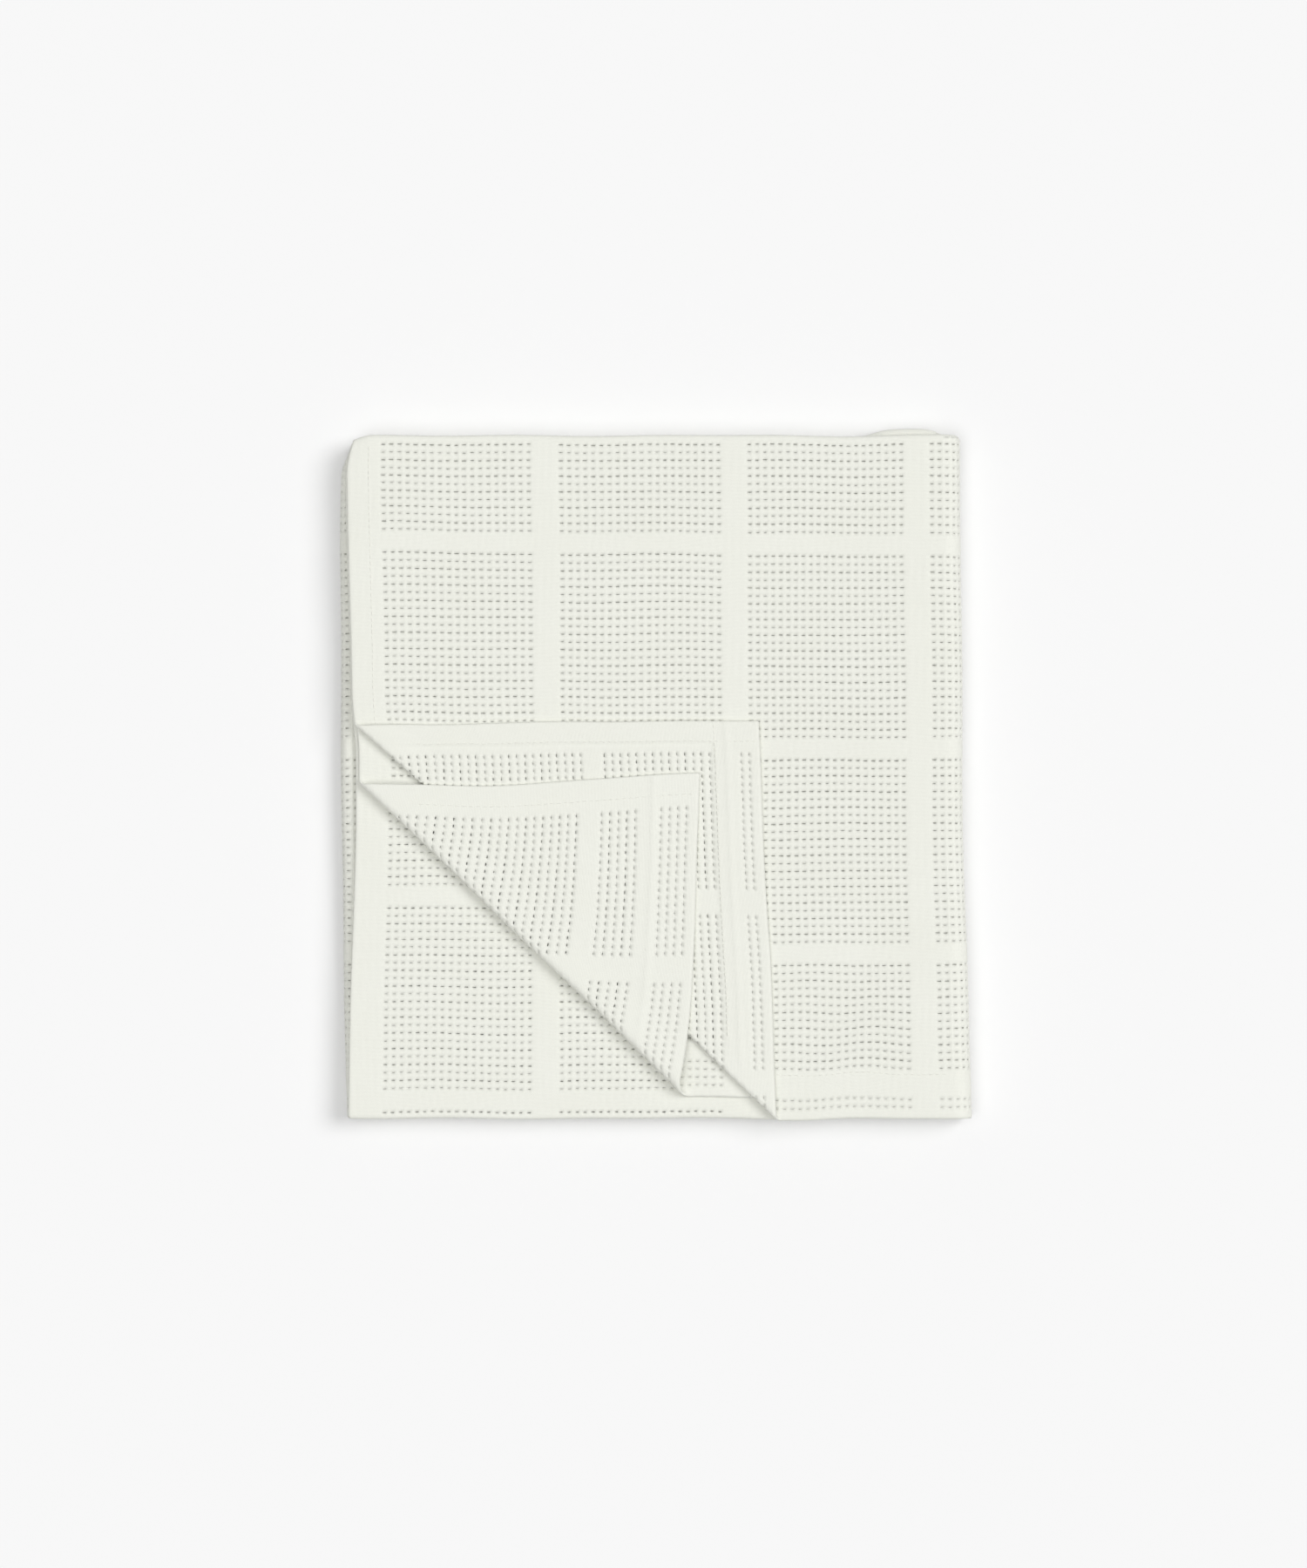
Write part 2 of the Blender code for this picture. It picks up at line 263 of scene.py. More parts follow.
class Corner:
    """A corner turned back: a roll about its fold line, then flat to its tip.

    Along the line, flare says how much fuller the roll is than its flat part, and slide how far it lies past
    the joint's own axis, each as (distances along the line, metres). Bow is how far the flat part bends off
    straight.
    """

    SETTLE_RUN = 0.018  # past the roll, the flat part comes down from the flare over this distance
    BOW_SCALE = 27 / 4  # so that the bow's greatest value is 1

    def __init__(self, joint, radius, flat_corner, tip, flare, slide, bow=0.0):
        row = JOINTS[joint]
        along = np.array(row["axis"][:2], float)
        self.along = along / np.linalg.norm(along)
        self.across = np.array([-self.along[1], self.along[0]])
        self.start = np.array(row["pos_m"][:2], float)
        self.radius, self.flare, self.slide, self.bow = radius, flare, slide, bow
        self.reach, self.lay = 1.0, np.zeros(2)
        past, _, base_x, base_y, turn_radius = self.roll(*flat_corner)
        self.reach = float(past - math.pi * turn_radius)
        self.lay = (np.array(tip) - (float(base_x), float(base_y))) / self.reach

    def past(self, x, y):
        """How far a point of the flat ply lies past the joint's axis, towards the free corner."""
        return -((x - self.start[0]) * self.across[0] + (y - self.start[1]) * self.across[1])

    def roll(self, x, y):
        """Distance past the fold, distance along it, the fold's point there, and the roll's radius there."""
        run = (x - self.start[0]) * self.along[0] + (y - self.start[1]) * self.along[1]
        slide = np.interp(run, *self.slide)
        base = [self.start[i] + run * self.along[i] - slide * self.across[i] for i in (0, 1)]
        return self.past(x, y) - slide, run, base[0], base[1], self.radius + np.interp(run, *self.flare)

    def turn(self, x, y, z):
        """Where a point of the flat ply lies once the corner is turned back."""
        past, _, base_x, base_y, radius = self.roll(x, y)
        angle = np.clip(past / radius, 0, math.pi)
        roll = np.where(past > 0, -radius * np.sin(angle), -past)
        flat = np.clip(past - math.pi * radius, 0, None)
        share = np.clip(flat / self.reach, 0, 1)
        bow = self.bow * self.BOW_SCALE * share * (1 - share) ** 2
        new_x = base_x + roll * self.across[0] + flat * self.lay[0] + bow * self.along[0]
        new_y = base_y + roll * self.across[1] + flat * self.lay[1] + bow * self.along[1]
        settle_back = 2 * (radius - self.radius) * ease(flat / self.SETTLE_RUN)
        return new_x, new_y, z + radius * (1 - np.cos(angle)) - settle_back


CORNER_1 = Corner(
    "corner_1_unfolds", radius=0.5 * PITCH, flat_corner=(TOP_LEFT_X, FOOT_Y), tip=(0.0571, 0.0311),
    flare=((-0.17, -0.13, -0.11, 0.09, 0.13, 0.165), (0.0007, 0.0007, 0.0001, 0.0001, 0.0006, 0.0008)),
    slide=((-0.16, 0.16), (0.0022, 0.0014)),
)
CORNER_2 = Corner(
    "corner_2_unfolds", radius=1.5 * PITCH, flat_corner=(TOP_LEFT_X, PLY_2_END_Y), tip=(0.0241, 0.0029),
    flare=((-0.14, -0.08, 0.04, 0.09, 0.125), (0.0, 0.0004, 0.0006, 0.0010, 0.0015)),
    slide=((-0.14, 0.0, 0.08, 0.12), (0.0002, 0.0004, 0.0014, 0.0018)), bow=0.0035,
)
# How far each ply's side edges stand from the leaf's own edge, ply 4 to ply 1.
SIDE_CREEP = (0.0006, -0.0010, 0.0008, 0.0)
# Under 1, the left fold is fuller than a half circle.
LEFT_FOLD_POWER = 0.72


def top_x(col):
    """Where a column of the top leaf lies across it, on the flat ply."""
    return TOP_LEFT_X + np.asarray(col, float) / TOP_COLS * (SPINE_X - TOP_LEFT_X)


def ply_1_y(row):
    """Where a row of ply 1 lies along the pile, on the flat ply."""
    return FOOT_Y + np.asarray(row, float) / ROW_HEAD * (HEAD_FOLD_Y - FOOT_Y)


def ply_2_y(row):
    """Where a row of ply 2 lies along the pile, on the flat ply."""
    share = (np.asarray(row, float) - ROW_PLY_2) / (ROW_END - ROW_PLY_2)
    return HEAD_FOLD_Y - share * (HEAD_FOLD_Y - PLY_2_END_Y)


def place(col, row):
    """The middle of the cloth at these columns and rows, as x, y and z."""
    col, row = np.broadcast_arrays(np.asarray(col, float), np.asarray(row, float))
    p = PITCH
    # Along the sheet: the distance y, and the height h above the leaf's ply 4, in plies. The head folds turn
    # over 3 plies and over 1, and the foot fold over 1.
    t1 = math.pi * np.clip((row - ROW_HEAD) / (ROW_PLY_4 - ROW_HEAD), 0, 1)
    t2 = math.pi * np.clip(row - ROW_FOOT, 0, 1)
    t3 = math.pi * np.clip(row - ROW_INNER_HEAD, 0, 1)
    zones = [row <= last for last in (ROW_HEAD, ROW_PLY_4, ROW_FOOT, ROW_PLY_3, ROW_INNER_HEAD, ROW_PLY_2)]
    ply_length = HEAD_FOLD_Y - FOOT_FOLD_Y
    y = np.select(
        zones,
        [
            ply_1_y(row),
            HEAD_FOLD_Y + 1.5 * p * np.sin(t1),
            HEAD_FOLD_Y - (row - ROW_PLY_4) / (ROW_FOOT - ROW_PLY_4) * ply_length,
            FOOT_FOLD_Y - 0.5 * p * np.sin(t2),
            FOOT_FOLD_Y + (row - ROW_PLY_3) / (ROW_INNER_HEAD - ROW_PLY_3) * ply_length,
            HEAD_FOLD_Y + 0.5 * p * np.sin(t3),
        ],
        ply_2_y(row),
    )
    level = np.zeros(row.shape)
    h = np.select(
        zones,
        [
            level + PLY_HEIGHT[1],
            1.5 + 1.5 * np.cos(t1),
            level + PLY_HEIGHT[4],
            0.5 - 0.5 * np.cos(t2),
            level + PLY_HEIGHT[3],
            1.5 - 0.5 * np.cos(t3),
        ],
        PLY_HEIGHT[2],
    )
    # Across the sheet: x and z, on a stack of four plies that turns over twice.
    a1 = math.pi * np.clip((col - COL_SPINE) / SPINE_COLS, 0, 1)
    a2 = math.pi * np.clip((col - COL_LEFT) / LEFT_COLS, 0, 1)
    r1, r2 = (TOP_LEVEL - SPINE_LEVEL + h) * p, (INNER_LEVEL - LEFT_LEVEL + h) * p
    creep = np.interp(h, (0, 1, 2, 3), SIDE_CREEP)
    zones = [col <= last for last in (COL_SPINE, COL_BOTTOM, COL_LEFT, COL_INNER)]
    inner_share = (col - COL_INNER) / INNER_COLS
    x = np.select(
        zones,
        [
            top_x(col) + creep * (1 - np.clip(col / TOP_COLS, 0, 1)),
            SPINE_X + r1 * np.sin(a1),
            SPINE_X - (col - COL_BOTTOM) / BOTTOM_COLS * (SPINE_X - LEFT_FOLD_X),
            LEFT_FOLD_X - r2 * np.sin(a2) ** LEFT_FOLD_POWER,
        ],
        LEFT_FOLD_X + inner_share * (INNER_RIGHT_X - LEFT_FOLD_X) + creep * np.clip(inner_share, 0, 1),
    )
    z = LEVEL_0 + np.select(
        zones,
        [
            (TOP_LEVEL + h) * p,
            SPINE_LEVEL * p + r1 * np.cos(a1),
            (BOTTOM_LEVEL - h) * p,
            LEFT_LEVEL * p - r2 * np.cos(a2),
        ],
        (INNER_LEVEL + h) * p,
    )
    for corner, rows in ((CORNER_1, row <= ROW_HEAD), (CORNER_2, row >= ROW_PLY_2)):
        turned = (col <= COL_SPINE) & rows & (corner.roll(x, y)[0] > 0)
        tx, ty, tz = corner.turn(x, y, z)
        x, y, z = np.where(turned, tx, x), np.where(turned, ty, y), np.where(turned, tz, z)
    return np.stack(settle(x, y, z), -1)


def outward(col, row, step=0.04):
    """Unit normals on face A of the cloth."""
    across = place(col + step, row) - place(col - step, row)
    along = place(col, row + step) - place(col, row - step)
    normal = np.cross(across, along)
    return normal / np.maximum(np.linalg.norm(normal, axis=-1, keepdims=True), 1e-12)


def flat_past(corner, col, row):
    """How far these columns and rows lie past a corner's axis, on the flat ply."""
    return corner.past(top_x(col), ply_1_y(row) if corner is CORNER_1 else ply_2_y(row))


# ---------------------------------------------------------------- meshes


def add_mesh(name, points, faces, uvs, bake_uvs, material, smooth=None):
    """A mesh object from arrays. Without a list of smooth faces, all are smooth."""
    mesh = bpy.data.meshes.new(name)
    mesh.vertices.add(len(points))
    mesh.vertices.foreach_set("co", points.astype(np.float32).ravel())
    mesh.loops.add(faces.size)
    mesh.loops.foreach_set("vertex_index", faces.astype(np.int32).ravel())
    mesh.polygons.add(len(faces))
    sides = faces.shape[1]
    mesh.polygons.foreach_set("loop_start", np.arange(0, faces.size, sides, dtype=np.int32))
    mesh.polygons.foreach_set("use_smooth", np.ones(len(faces), bool) if smooth is None else smooth)
    mesh.update(calc_edges=True)
    for layer_name, values in (("ClothUV", uvs), ("OFBake", bake_uvs)):
        if values is not None:
            layer = mesh.uv_layers.new(name=layer_name)
            layer.data.foreach_set("uv", values.astype(np.float32).ravel())
    if smooth is not None:
        # The walls where two pieces meet don't turn the normals of the faces beside them.
        edge_of_loop = np.empty(faces.size, np.int32)
        mesh.loops.foreach_get("edge_index", edge_of_loop)
        sharp = np.zeros(len(mesh.edges), bool)
        sharp[edge_of_loop.reshape(faces.shape)[~smooth].ravel()] = True
        mesh.attributes.new("sharp_edge", "BOOLEAN", "EDGE").data.foreach_set("value", sharp)
    mesh.materials.append(material)
    obj = bpy.data.objects.new(name, mesh)
    bpy.context.scene.collection.objects.link(obj)
    return obj


# Where the grid's lines cut a cell: three lines for a hole, or two that only round a fold.
FINE_X, FINE_Y = (0, 0.22, 0.5, 0.78), (0, 0.36, 0.5, 0.64)
THIRDS = (0, 1 / 3, 2 / 3)
# Half the cloth's thickness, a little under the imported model's, so that neighbours don't touch.
HALF_THICK = THICKNESS / 2 * 0.97
# A hole in an open row: half its width and half its height, in cells.
HOLE_WIDE, HOLE_TALL = 0.262, 0.060
LIGHT_HOLE_WIDE, LIGHT_HOLE_TALL = 0.25, 0.072
# In the bake layout, face A has the left half and face B the right, each this wide and high, inside a margin.
BAKE_WIDTH, BAKE_HEIGHT, BAKE_MARGIN = 0.485, 0.97, 0.006
FACE_B_SHIFT = np.array([0.5, 0.0])


def lines(*segments):
    """Grid lines from (first, last, cuts) segments: cuts are shares of a cell, or a whole number of cells."""
    found = []
    for first, last, cuts in segments:
        if isinstance(cuts, int):
            found += list(range(first, last, cuts))
        else:
            found += [cell + cut for cell in range(first, last) for cut in cuts]
    return np.array(found + [segments[-1][1]], float)


def whole_cells(at):
    """The cell that each of these columns or rows lies in."""
    return np.floor(at + 1e-6).astype(int)


def wall_quads(mask):
    """The walls round a set of grid quads: each edge's ends a and b, its direction and the quad beyond it."""
    padded = np.pad(mask, 1)
    core = padded[1:-1, 1:-1]
    walls = []
    for di, dj, corners in (
        (-1, 0, ((0, 0), (0, 1))),
        (1, 0, ((1, 1), (1, 0))),
        (0, -1, ((1, 0), (0, 0))),
        (0, 1, ((0, 1), (1, 1))),
    ):
        beside = padded[1 + di : padded.shape[0] - 1 + di, 1 + dj : padded.shape[1] - 1 + dj]
        i, j = np.nonzero(core & ~beside)
        a = np.stack([i + corners[0][0], j + corners[0][1]], -1)
        b = np.stack([i + corners[1][0], j + corners[1][1]], -1)
        walls.append((a, b, np.broadcast_to([di, dj], a.shape), np.stack([i + di, j + dj], -1)))
    return [np.concatenate(part) for part in zip(*walls)]


def is_free_edge(col, row):
    """True on the sheet's own edges, which are rounded. Its other borders meet the next piece."""
    return (col < 0.001) | (col > COL_END - 0.001) | (row < 0.001) | (row > ROW_END - 0.001)


def bake_scale(col_lines, row_lines):
    """How large a cell is in the bake layout."""
    return min(BAKE_WIDTH / (col_lines[-1] - col_lines[0]), BAKE_HEIGHT / (row_lines[-1] - row_lines[0]))


def cloth(
    name, col_lines, row_lines, material,
    keep=None, holes=None, raise_a=None, raise_b=None, openness=1.0, seed=0,
):
    """A thick patch of the sheet with real holes.

    Keep and holes choose cells by column and row. Raise_a and raise_b say how far a hem stands off each face,
    and openness scales the holes.
    """
    dice = np.random.default_rng(seed + 100)
    cols, rows = np.meshgrid(col_lines, row_lines, indexing="ij")
    cell_i = whole_cells(col_lines[:-1])
    cell_j = whole_cells(row_lines[:-1])
    ci, rj = np.meshgrid(cell_i, cell_j, indexing="ij")
    quads = np.ones(ci.shape, bool)
    if keep is not None:
        quads &= keep(ci, rj)
    thick = np.full(cols.shape, 1.0)
    local_c, local_r = cols - whole_cells(cols), rows - whole_cells(rows)
    hole_cells = np.zeros(ci.shape, bool)
    if holes is not None:
        # The grid's own quads where a hole starts.
        start_i = np.nonzero(np.isclose(col_lines[:-1] - cell_i, FINE_X[1]))[0]
        start_j = np.nonzero(np.isclose(row_lines[:-1] - cell_j, FINE_Y[1]))[0]
        gi, gj = np.meshgrid(start_i, start_j, indexing="ij")
        cc, rr = cell_i[gi], cell_j[gj]
        kind = row_kind(rr)
        want = (kind > 0) & ~plain_column(cc) & holes(cc, rr) & quads[gi, gj]
        gi, gj, cc, rr, kind = gi[want], gj[want], cc[want], rr[want], kind[want]
        count = len(gi)
        # Faint rows have narrower and lower holes, and every hole's size and place vary a little.
        wide = HOLE_WIDE * (0.60 + 0.40 * kind) * dice.uniform(0.86, 1.14, count) * openness
        tall = HOLE_TALL * kind * dice.uniform(0.70, 1.30, count) * openness
        shift_c, shift_r = dice.uniform(-0.035, 0.035, count), dice.uniform(-0.035, 0.035, count)
        # The eight grid points round the hole move to its rim, where threads bunch and the cloth is thinner.
        for di in (0, 1, 2):
            for dj in (0, 1, 2):
                if di == 1 and dj == 1:
                    continue
                reach = 0.78 if di != 1 and dj != 1 else 1.0
                cols[gi + di, gj + dj] = cc + 0.5 + shift_c + (di - 1) * wide * reach
                rows[gi + di, gj + dj] = rr + 0.5 + shift_r + (dj - 1) * tall * reach
                thick[gi + di, gj + dj] = np.where(kind < OPEN_ROW, 0.68, 0.52)
        for di in (0, 1):
            for dj in (0, 1):
                quads[gi + di, gj + dj] = False
                hole_cells[gi + di, gj + dj] = True
        # The crest between two holes of a row is a little lower than the crossing at the cell's corner.
        crest = (local_c == 0) & (np.abs(local_r - 0.5) < 0.2)
        thick[crest] *= 0.86
    thick[is_free_edge(cols, rows)] = 0.5
    middle_points = place(cols, rows)
    normals = outward(cols, rows)
    up, down = HALF_THICK * thick, HALF_THICK * thick
    if raise_a is not None:
        up = up + raise_a(cols, rows)
    if raise_b is not None:
        down = down + raise_b(cols, rows)
    face_a = middle_points + normals * up[..., None]
    face_b = middle_points - normals * down[..., None]

    index = np.arange(cols.size).reshape(cols.shape)
    qi, qj = np.nonzero(quads)
    ring = [index[qi, qj], index[qi + 1, qj], index[qi + 1, qj + 1], index[qi, qj + 1]]
    size = cols.size
    top_faces = np.stack(ring, -1)
    bottom_faces = np.stack(ring[::-1], -1) + size
    wall_a, wall_b, way, beside = wall_quads(quads)
    ia, ib = index[wall_a[:, 0], wall_a[:, 1]], index[wall_b[:, 0], wall_b[:, 1]]
    wall_faces = np.stack([ia + size, ia, ib, ib + size], -1)
    in_hole = np.pad(hole_cells, 1)[beside[:, 0] + 1, beside[:, 1] + 1]
    free = is_free_edge(cols.ravel()[ia], rows.ravel()[ia]) & is_free_edge(cols.ravel()[ib], rows.ravel()[ib])
    smooth = np.concatenate([np.ones(2 * len(top_faces), bool), in_hole | free])

    flat = np.stack([cols.ravel(), rows.ravel()], -1)
    corner = np.array([col_lines[0], row_lines[0]])
    scale = bake_scale(col_lines, row_lines)
    base = (flat - corner) * scale + BAKE_MARGIN
    # A wall's inner rim is drawn a short way into the hole, or past the cloth's edge, where there is room.
    inset = np.where(np.abs(way) > 0, way * np.array([0.075, 0.026]), 0.0)
    beyond_a, beyond_b = flat[ia] + inset, flat[ib] + inset
    wall_uv = np.stack([beyond_a, flat[ia], flat[ib], beyond_b], 1)
    cloth_uv = np.concatenate([flat[top_faces], flat[bottom_faces - size], wall_uv]).reshape(-1, 2)
    wall_bake = (wall_uv - corner) * scale + BAKE_MARGIN
    on_b = base[bottom_faces - size] + FACE_B_SHIFT
    bake = np.concatenate([base[top_faces], on_b, wall_bake]).reshape(-1, 2)
    faces = np.concatenate([top_faces, bottom_faces, wall_faces])
    points = np.concatenate([face_a.reshape(-1, 3), face_b.reshape(-1, 3)])
    used, compact = np.unique(faces, return_inverse=True)
    obj = add_mesh(name, points[used], compact.reshape(faces.shape), cloth_uv * CELL, bake, material, smooth)
    quad_cells = np.diff(col_lines)[:, None] * np.diff(row_lines)[None]
    obj["cells"] = float((quad_cells * (quads | hole_cells)).sum())
    return obj


def light_cloth(name, col_lines, row_lines, material, holes, seed=0):
    """The same patch with a four-cornered hole to a cell, for faces that show only when it is opened."""
    dice = np.random.default_rng(seed + 500)
    cols, rows = np.meshgrid(col_lines, row_lines, indexing="ij")
    ci, rj = np.meshgrid(whole_cells(col_lines[:-1]), whole_cells(row_lines[:-1]), indexing="ij")
    whole = (np.diff(col_lines)[:, None] > 0.99) & (np.diff(row_lines)[None] > 0.99)
    kind = row_kind(rj)
    holed = whole & (kind > 0) & ~plain_column(ci) & holes(ci, rj)
    index = np.arange(cols.size).reshape(cols.shape)
    gi, gj = np.nonzero(holed)
    count = len(gi)
    kinds = kind[gi, gj]
    wide = LIGHT_HOLE_WIDE * (0.62 + 0.38 * kinds) * dice.uniform(0.86, 1.14, count)
    tall = LIGHT_HOLE_TALL * kinds * dice.uniform(0.72, 1.25, count)
    signs = ((-1, -1), (1, -1), (1, 1), (-1, 1))
    rim_c = np.stack([ci[gi, gj] + 0.5 + sx * wide for sx, _ in signs], -1)
    rim_r = np.stack([rj[gi, gj] + 0.5 + sy * tall for _, sy in signs], -1)
    all_c = np.concatenate([cols.ravel(), rim_c.ravel()])
    all_r = np.concatenate([rows.ravel(), rim_r.ravel()])
    thick = np.concatenate([np.ones(cols.size), np.full(rim_c.size, 0.6)])
    middle_points, normals = place(all_c, all_r), outward(all_c, all_r)
    out = normals * (HALF_THICK * thick)[:, None]
    size = len(all_c)
    points = np.concatenate([middle_points + out, middle_points - out])

    qi, qj = np.nonzero(~holed)
    plain = np.stack([index[qi, qj], index[qi + 1, qj], index[qi + 1, qj + 1], index[qi, qj + 1]], -1)
    outer = [index[gi, gj], index[gi + 1, gj], index[gi + 1, gj + 1], index[gi, gj + 1]]
    inner = [cols.size + np.arange(count) * 4 + k for k in range(4)]
    rings, walls, wall_way = [], [], []
    into_hole = ((0, 0.03), (-0.075, 0), (0, -0.03), (0.075, 0))
    for k in range(4):
        n = (k + 1) % 4
        rings.append(np.stack([outer[k], outer[n], inner[n], inner[k]], -1))
        walls.append(np.stack([inner[k], inner[n]], -1))
        wall_way.append(np.broadcast_to(into_hole[k], (count, 2)))
    top_faces = np.concatenate([plain] + rings)
    edge_a, edge_b, way, _ = wall_quads(np.ones(holed.shape, bool))
    ia, ib = index[edge_a[:, 0], edge_a[:, 1]], index[edge_b[:, 0], edge_b[:, 1]]
    hole_walls = np.concatenate(walls)
    ia, ib = np.concatenate([ia, hole_walls[:, 0]]), np.concatenate([ib, hole_walls[:, 1]])
    inset = np.concatenate([way * np.array([0.075, 0.03]), np.concatenate(wall_way)])
    wall_faces = np.stack([ia + size, ia, ib, ib + size], -1)
    bottom_faces = top_faces[:, ::-1] + size
    flat = np.stack([all_c, all_r], -1)
    corner = np.array([col_lines[0], row_lines[0]])
    scale = bake_scale(col_lines, row_lines)
    wall_uv = np.stack([flat[ia] + inset, flat[ia], flat[ib], flat[ib] + inset], 1)
    cloth_uv = np.concatenate([flat[top_faces], flat[bottom_faces - size], wall_uv]).reshape(-1, 2)
    on_b = flat[bottom_faces - size] + FACE_B_SHIFT / scale
    bake = (np.concatenate([flat[top_faces], on_b, wall_uv]).reshape(-1, 2) - corner) * scale + BAKE_MARGIN
    faces = np.concatenate([top_faces, bottom_faces, wall_faces])
    smooth = np.ones(len(faces), bool)
    smooth[2 * len(top_faces) : 2 * len(top_faces) + len(edge_a)] = False
    obj = add_mesh(name, points, faces, cloth_uv * CELL, bake, material, smooth)
    obj["cells"] = float((col_lines[-1] - col_lines[0]) * (row_lines[-1] - row_lines[0]))
    return obj


def stitches(name, path, offset, material, radius=0.00019, dip=0.00016, seed=0):
    """Short threads along a path of (col, row) pairs, each lying on the cloth at this offset from its middle.

    Each thread dips into the cloth and narrows at its ends.
    """
    dice = np.random.default_rng(seed + 900)
    points, faces = [], []
    stations, sides = 5, 6
    along = np.linspace(0, 1, stations)
    from_middle = 2 * along - 1
    for a, b in np.array(path, float):
        col = a[0] + (b[0] - a[0]) * along
        row = a[1] + (b[1] - a[1]) * along
        normal = outward(col, row)
        centre = place(col, row) + normal * (offset - math.copysign(dip, offset) * from_middle[:, None] ** 4)
        tangent = np.gradient(centre, axis=0)
        tangent /= np.linalg.norm(tangent, axis=1, keepdims=True)
        side = np.cross(tangent, normal)
        size = radius * dice.uniform(0.85, 1.15) * (1 - 0.62 * from_middle ** 6)
        first = len(points) * stations * sides
        last = first + (stations - 1) * sides
        ring = []
        for k in range(sides):
            turn = math.tau * k / sides
            ring.append(centre + (side * math.cos(turn) + normal * math.sin(turn)) * size[:, None])
        points.append(np.stack(ring, 1).reshape(-1, 3))
        for here in range(first, last, sides):
            there = here + sides
            for k in range(sides):
                n = (k + 1) % sides
                faces.append([here + k, here + n, there + n, there + k])
        # Two quads close each six-sided end.
        faces += [[first + k for k in around] for around in ((0, 5, 4, 3), (0, 3, 2, 1))]
        faces += [[last + k for k in around] for around in ((0, 1, 2, 3), (0, 3, 4, 5))]
    return add_mesh(name, np.concatenate(points), np.array(faces), None, None, material)


def seam_path(fixed, first, last, along_rows, step=0.78, share=0.72, wander=0.03, seed=0):
    """Pairs of (col, row) ends for a straight run of stitches, at this fixed column or at this fixed row."""
    dice = np.random.default_rng(seed)
    pairs = []
    at = first
    while at + step <= last:
        side = fixed + dice.uniform(-wander, wander)
        end = fixed + dice.uniform(-wander, wander)
        a, b = at + 0.05, at + step * share + 0.05
        pairs.append(((side, a), (end, b)) if along_rows else ((a, side), (b, end)))
        at += step
    return pairs


# ---------------------------------------------------------------- materials


def new_material(name):
    material = bpy.data.materials.new(name)
    material.use_nodes = True
    return material, material.node_tree, material.node_tree.nodes["Principled BSDF"]


def node(tree, kind, **inputs):
    """A shader node with these values on its named inputs."""
    made = tree.nodes.new(kind)
    for key, value in inputs.items():
        made.inputs[key.replace("_", " ")].default_value = value
    return made


def mixed(tree, share, first, second, blend_type="MIX"):
    """A colour mix. Each of the three is a value or another node's output."""
    mix = tree.nodes.new("ShaderNodeMix")
    mix.data_type, mix.blend_type = "RGBA", blend_type
    share_socket, first_socket, second_socket = mix.inputs[0], mix.inputs[6], mix.inputs[7]
    for socket, given in ((share_socket, share), (first_socket, first), (second_socket, second)):
        if isinstance(given, bpy.types.NodeSocket):
            tree.links.new(given, socket)
        else:
            socket.default_value = given
    return mix.outputs[2]


def cotton(name, ivory, warm, bump=0.55, roughness=0.92):
    """Ivory cotton: two sets of threads, loose fibre, a faint drift of colour, and shade painted darker
    between threads.
    """
    material, tree, shader = new_material(name)
    link = tree.links.new
    uv = tree.nodes.new("ShaderNodeUVMap")
    uv.uv_map = "ClothUV"
    weave = tree.nodes.new("ShaderNodeMath")
    weave.operation = "MAXIMUM"
    # A wave texture of scale 1 repeats every 0.314 m, and a thread is about half a millimetre wide.
    for slot, (direction, pitch) in enumerate((("X", 0.00054), ("Y", 0.00062))):
        scale = 0.314 / pitch
        wave = node(tree, "ShaderNodeTexWave", Scale=scale, Distortion=1.4, Detail=1, Detail_Scale=0.6)
        wave.wave_type, wave.bands_direction, wave.wave_profile = "BANDS", direction, "SIN"
        link(uv.outputs["UV"], wave.inputs["Vector"])
        link(wave.outputs["Fac"], weave.inputs[slot])
    fibre = node(tree, "ShaderNodeTexNoise", Scale=1500.0, Detail=3.0)
    link(uv.outputs["UV"], fibre.inputs["Vector"])
    relief = tree.nodes.new("ShaderNodeMath")
    relief.operation = "MULTIPLY_ADD"
    relief.inputs[1].default_value = 0.55
    link(fibre.outputs["Fac"], relief.inputs[0])
    link(weave.outputs[0], relief.inputs[2])
    bumped = node(tree, "ShaderNodeBump", Strength=bump, Distance=0.00022)
    link(relief.outputs[0], bumped.inputs["Height"])
    link(bumped.outputs["Normal"], shader.inputs["Normal"])
    drift = node(tree, "ShaderNodeTexNoise", Scale=26.0, Detail=4.0)
    link(uv.outputs["UV"], drift.inputs["Vector"])
    drifted = mixed(tree, drift.outputs["Fac"], (*ivory, 1), (*warm, 1))
    # Painted shade: the colour is darker where the weave's relief is low, between the raised threads.
    painted_weave_shade = node(tree, "ShaderNodeMapRange", From_Min=0.2, From_Max=1.4, To_Min=0.90, To_Max=1.03)
    link(relief.outputs[0], painted_weave_shade.inputs["Value"])
    link(mixed(tree, 1.0, drifted, painted_weave_shade.outputs["Result"], "MULTIPLY"), shader.inputs["Base Color"])
    rough = node(tree, "ShaderNodeMapRange", To_Min=roughness - 0.08, To_Max=min(1.0, roughness + 0.06))
    link(fibre.outputs["Fac"], rough.inputs["Value"])
    link(rough.outputs["Result"], shader.inputs["Roughness"])
    shader.inputs["Sheen Weight"].default_value = 0.18
    shader.inputs["Sheen Roughness"].default_value = 0.55
    shader.inputs["Specular IOR Level"].default_value = 0.25
    return material


